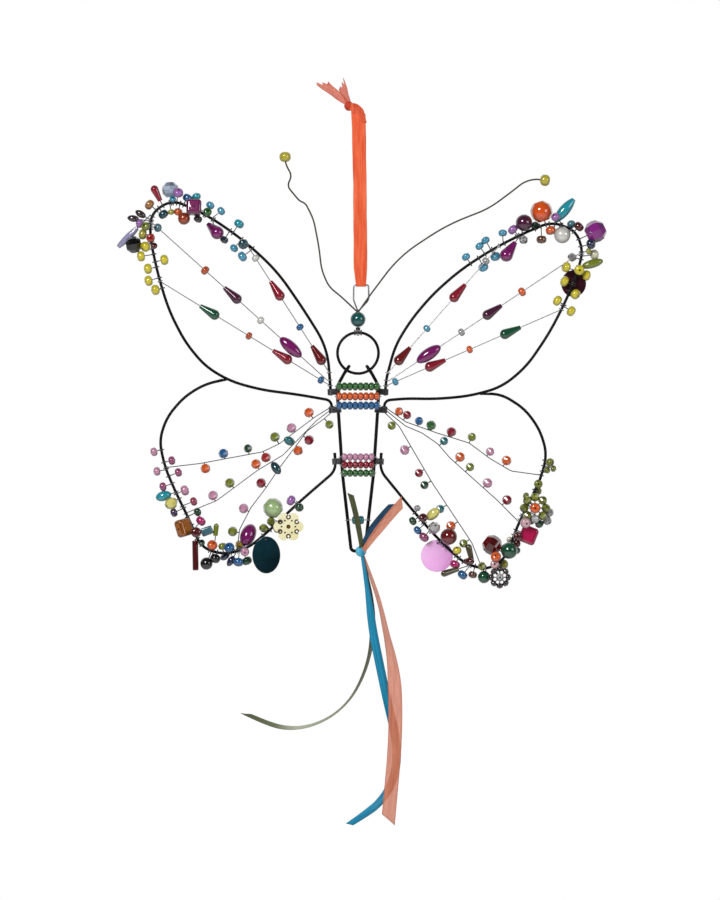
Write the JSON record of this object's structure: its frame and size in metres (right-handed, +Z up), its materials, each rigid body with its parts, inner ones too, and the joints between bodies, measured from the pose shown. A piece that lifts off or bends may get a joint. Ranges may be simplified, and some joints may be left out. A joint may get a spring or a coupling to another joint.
{
  "type": "butterfly ornament",
  "caption": "Hanging butterfly of black bent wire with glass beads strung and pinned on its wings, beaded body rows, ribbon tails and a ribbon hanger.",
  "frame": {"origin": "point inside the top of the hanger ribbon where a hook bears", "axes": "+Z up along the hanging line, +X to the right wing as seen from the front, +Y to the back; the front faces -Y"},
  "size_m": [0.2058, 0.0141, 0.3148],
  "materials": {
    "black_wire": "semi gloss black paint",
    "thin_wire": "bright drawn wire",
    "dark_wire": "dark lacquered wire",
    "orange_satin": "satin ribbon",
    "blue_satin": "satin ribbon",
    "peach_organza": "sheer organza ribbon",
    "olive_satin": "satin ribbon",
    "mixed_ribbon": "satin and organza ribbon ends",
    "teal_pearl": "pearl coat",
    "yellow_glass": "glossy seed glass",
    "green_glass": "glossy seed glass",
    "orange_glass": "glossy seed glass",
    "blue_glass": "glossy seed glass",
    "pink_glass": "glossy seed glass",
    "crimson_glass": "glossy seed glass",
    "teal_glass": "glossy seed glass",
    "violet_glass": "glossy seed glass",
    "dark_glass": "glossy dark glass",
    "crystal_glass": "clear faceted glass",
    "string_glass": "drops, ovals and rounds in several colours",
    "teal_shell": "polished plate",
    "cream_shell": "polished plate with dots",
    "pink_shell": "polished plate",
    "plum_shell": "polished plate"
  },
  "bodies": {
    "hanger": {"hanger_ribbon": "orange_satin", "hanger_knot": "orange_satin", "hanger_ends": "orange_satin"},
    "link": {"hanging_eye": "thin_wire", "head_pearl": "teal_pearl", "antenna_wire": "dark_wire", "antenna_tip_beads": "yellow_glass"},
    "head": {"head_ring": "black_wire"},
    "body": {"body_frame": "black_wire", "cross_wires": "thin_wire", "ribbon_knot": "blue_satin", "ribbon_short_ends": "mixed_ribbon"},
    "green_row": {"green_row": "green_glass"},
    "orange_row": {"orange_row": "orange_glass"},
    "blue_row": {"blue_row": "blue_glass"},
    "pink_row": {"pink_row": "pink_glass"},
    "crimson_row": {"crimson_row": "crimson_glass"},
    "lower_green_row": {"lower_green_row": "green_glass"},
    "tail_pair": {"tail_pair": "teal_glass"},
    "left_wing": {"left_bead_pins": "thin_wire", "left_blue_beads": "blue_glass", "left_cream_flower": "cream_shell", "left_dark_beads": "dark_glass", "left_green_beads": "green_glass", "left_lower_frame": "black_wire", "left_lower_strings": "thin_wire", "left_orange_beads": "orange_glass", "left_red_beads": "crimson_glass", "left_tie_rings": "thin_wire", "left_upper_frame": "black_wire", "left_upper_strings": "thin_wire", "left_violet_beads": "violet_glass", "left_yellow_beads": "yellow_glass"},
    "left_string_a_beads": {"left_string_a_beads": "string_glass"},
    "left_string_b_beads": {"left_string_b_beads": "string_glass"},
    "left_string_c_beads": {"left_string_c_beads": "string_glass"},
    "left_teal_disc": {"left_teal_disc": "teal_shell"},
    "right_wing": {"right_bead_pins": "thin_wire", "right_blue_beads": "blue_glass", "right_crystal_beads": "crystal_glass", "right_dark_beads": "dark_glass", "right_green_beads": "green_glass", "right_lower_frame": "black_wire", "right_lower_strings": "thin_wire", "right_orange_beads": "orange_glass", "right_plum_disc": "plum_shell", "right_red_beads": "crimson_glass", "right_tie_rings": "thin_wire", "right_upper_frame": "black_wire", "right_upper_strings": "thin_wire", "right_violet_beads": "violet_glass", "right_yellow_beads": "yellow_glass"},
    "right_string_a_beads": {"right_string_a_beads": "string_glass"},
    "right_string_b_beads": {"right_string_b_beads": "string_glass"},
    "right_string_c_beads": {"right_string_c_beads": "string_glass"},
    "right_pink_disc": {"right_pink_disc": "pink_shell"},
    "tails": {"blue_ribbon": "blue_satin", "peach_ribbon": "peach_organza", "green_ribbon": "olive_satin"}
  },
  "joints": [
    {"name": "hanger_swing", "type": "hinge", "parent": "hanger", "child": "link", "pos_m": [0, 0.00042, -0.07362], "axis": [1, 0, 0], "range_deg": [-45, 45]},
    {"name": "head_swing", "type": "hinge", "parent": "link", "child": "head", "pos_m": [0, 0, -0.09366], "axis": [1, 0, 0], "range_deg": [-30, 30]},
    {"name": "body_swing", "type": "hinge", "parent": "head", "child": "body", "pos_m": [0, 0, -0.10948], "axis": [1, 0, 0], "range_deg": [-25, 25]},
    {"name": "green_row_spin", "type": "hinge", "parent": "body", "child": "green_row", "pos_m": [0, -0.00352, -0.11648], "axis": [1, 0, 0], "continuous": true},
    {"name": "orange_row_spin", "type": "hinge", "parent": "body", "child": "orange_row", "pos_m": [0, -0.00352, -0.12066], "axis": [1, 0, 0], "continuous": true},
    {"name": "blue_row_spin", "type": "hinge", "parent": "body", "child": "blue_row", "pos_m": [0, -0.00352, -0.12454], "axis": [1, 0, 0], "continuous": true},
    {"name": "pink_row_spin", "type": "hinge", "parent": "body", "child": "pink_row", "pos_m": [0, -0.00337, -0.14618], "axis": [1, 0, 0], "continuous": true},
    {"name": "crimson_row_spin", "type": "hinge", "parent": "body", "child": "crimson_row", "pos_m": [0, -0.00337, -0.14947], "axis": [1, 0, 0], "continuous": true},
    {"name": "lower_green_row_spin", "type": "hinge", "parent": "body", "child": "lower_green_row", "pos_m": [0, -0.00337, -0.15293], "axis": [1, 0, 0], "continuous": true},
    {"name": "tail_pair_spin", "type": "hinge", "parent": "body", "child": "tail_pair", "pos_m": [0, 0, -0.17276], "axis": [1, 0, 0], "continuous": true},
    {"name": "left_wing_fold", "type": "hinge", "parent": "body", "child": "left_wing", "pos_m": [-0.00894, 0, -0.11665], "axis": [0.0654, 0, -0.9979], "range_deg": [-20, 30]},
    {"name": "right_wing_fold", "type": "hinge", "parent": "body", "child": "right_wing", "pos_m": [0.00894, 0, -0.11665], "axis": [0.0654, 0, 0.9979], "range_deg": [-20, 30]},
    {"name": "left_string_a_beads_spin", "type": "hinge", "parent": "left_wing", "child": "left_string_a_beads", "pos_m": [-0.01211, -0.00105, -0.11062], "axis": [-0.5411, 0, 0.8409], "continuous": true},
    {"name": "left_string_b_beads_spin", "type": "hinge", "parent": "left_wing", "child": "left_string_b_beads", "pos_m": [-0.01291, 0, -0.11383], "axis": [-0.7436, 0, 0.6686], "continuous": true},
    {"name": "left_string_c_beads_spin", "type": "hinge", "parent": "left_wing", "child": "left_string_c_beads", "pos_m": [-0.01171, 0.00105, -0.1161], "axis": [-0.8524, 0, 0.5229], "continuous": true},
    {"name": "right_string_a_beads_spin", "type": "hinge", "parent": "right_wing", "child": "right_string_a_beads", "pos_m": [0.01257, -0.00105, -0.1108], "axis": [0.6587, 0, 0.7524], "continuous": true},
    {"name": "right_string_b_beads_spin", "type": "hinge", "parent": "right_wing", "child": "right_string_b_beads", "pos_m": [0.01297, 0, -0.11402], "axis": [0.8318, 0, 0.555], "continuous": true},
    {"name": "right_string_c_beads_spin", "type": "hinge", "parent": "right_wing", "child": "right_string_c_beads", "pos_m": [0.01168, 0.00105, -0.11619], "axis": [0.9171, 0, 0.3987], "continuous": true},
    {"name": "left_teal_disc_swing", "type": "hinge", "parent": "left_wing", "child": "left_teal_disc", "pos_m": [-0.0386, -0.0032, -0.1809], "axis": [0, 1, 0], "range_deg": [-20, 20]},
    {"name": "right_pink_disc_swing", "type": "hinge", "parent": "right_wing", "child": "right_pink_disc", "pos_m": [0.0335, 0.003, -0.18259], "axis": [0, 1, 0], "range_deg": [-20, 20]},
    {"name": "tails_swing", "type": "hinge", "parent": "body", "child": "tails", "pos_m": [0.0013, 0, -0.18837], "axis": [1, 0, 0], "range_deg": [-25, 25]}
  ]
}
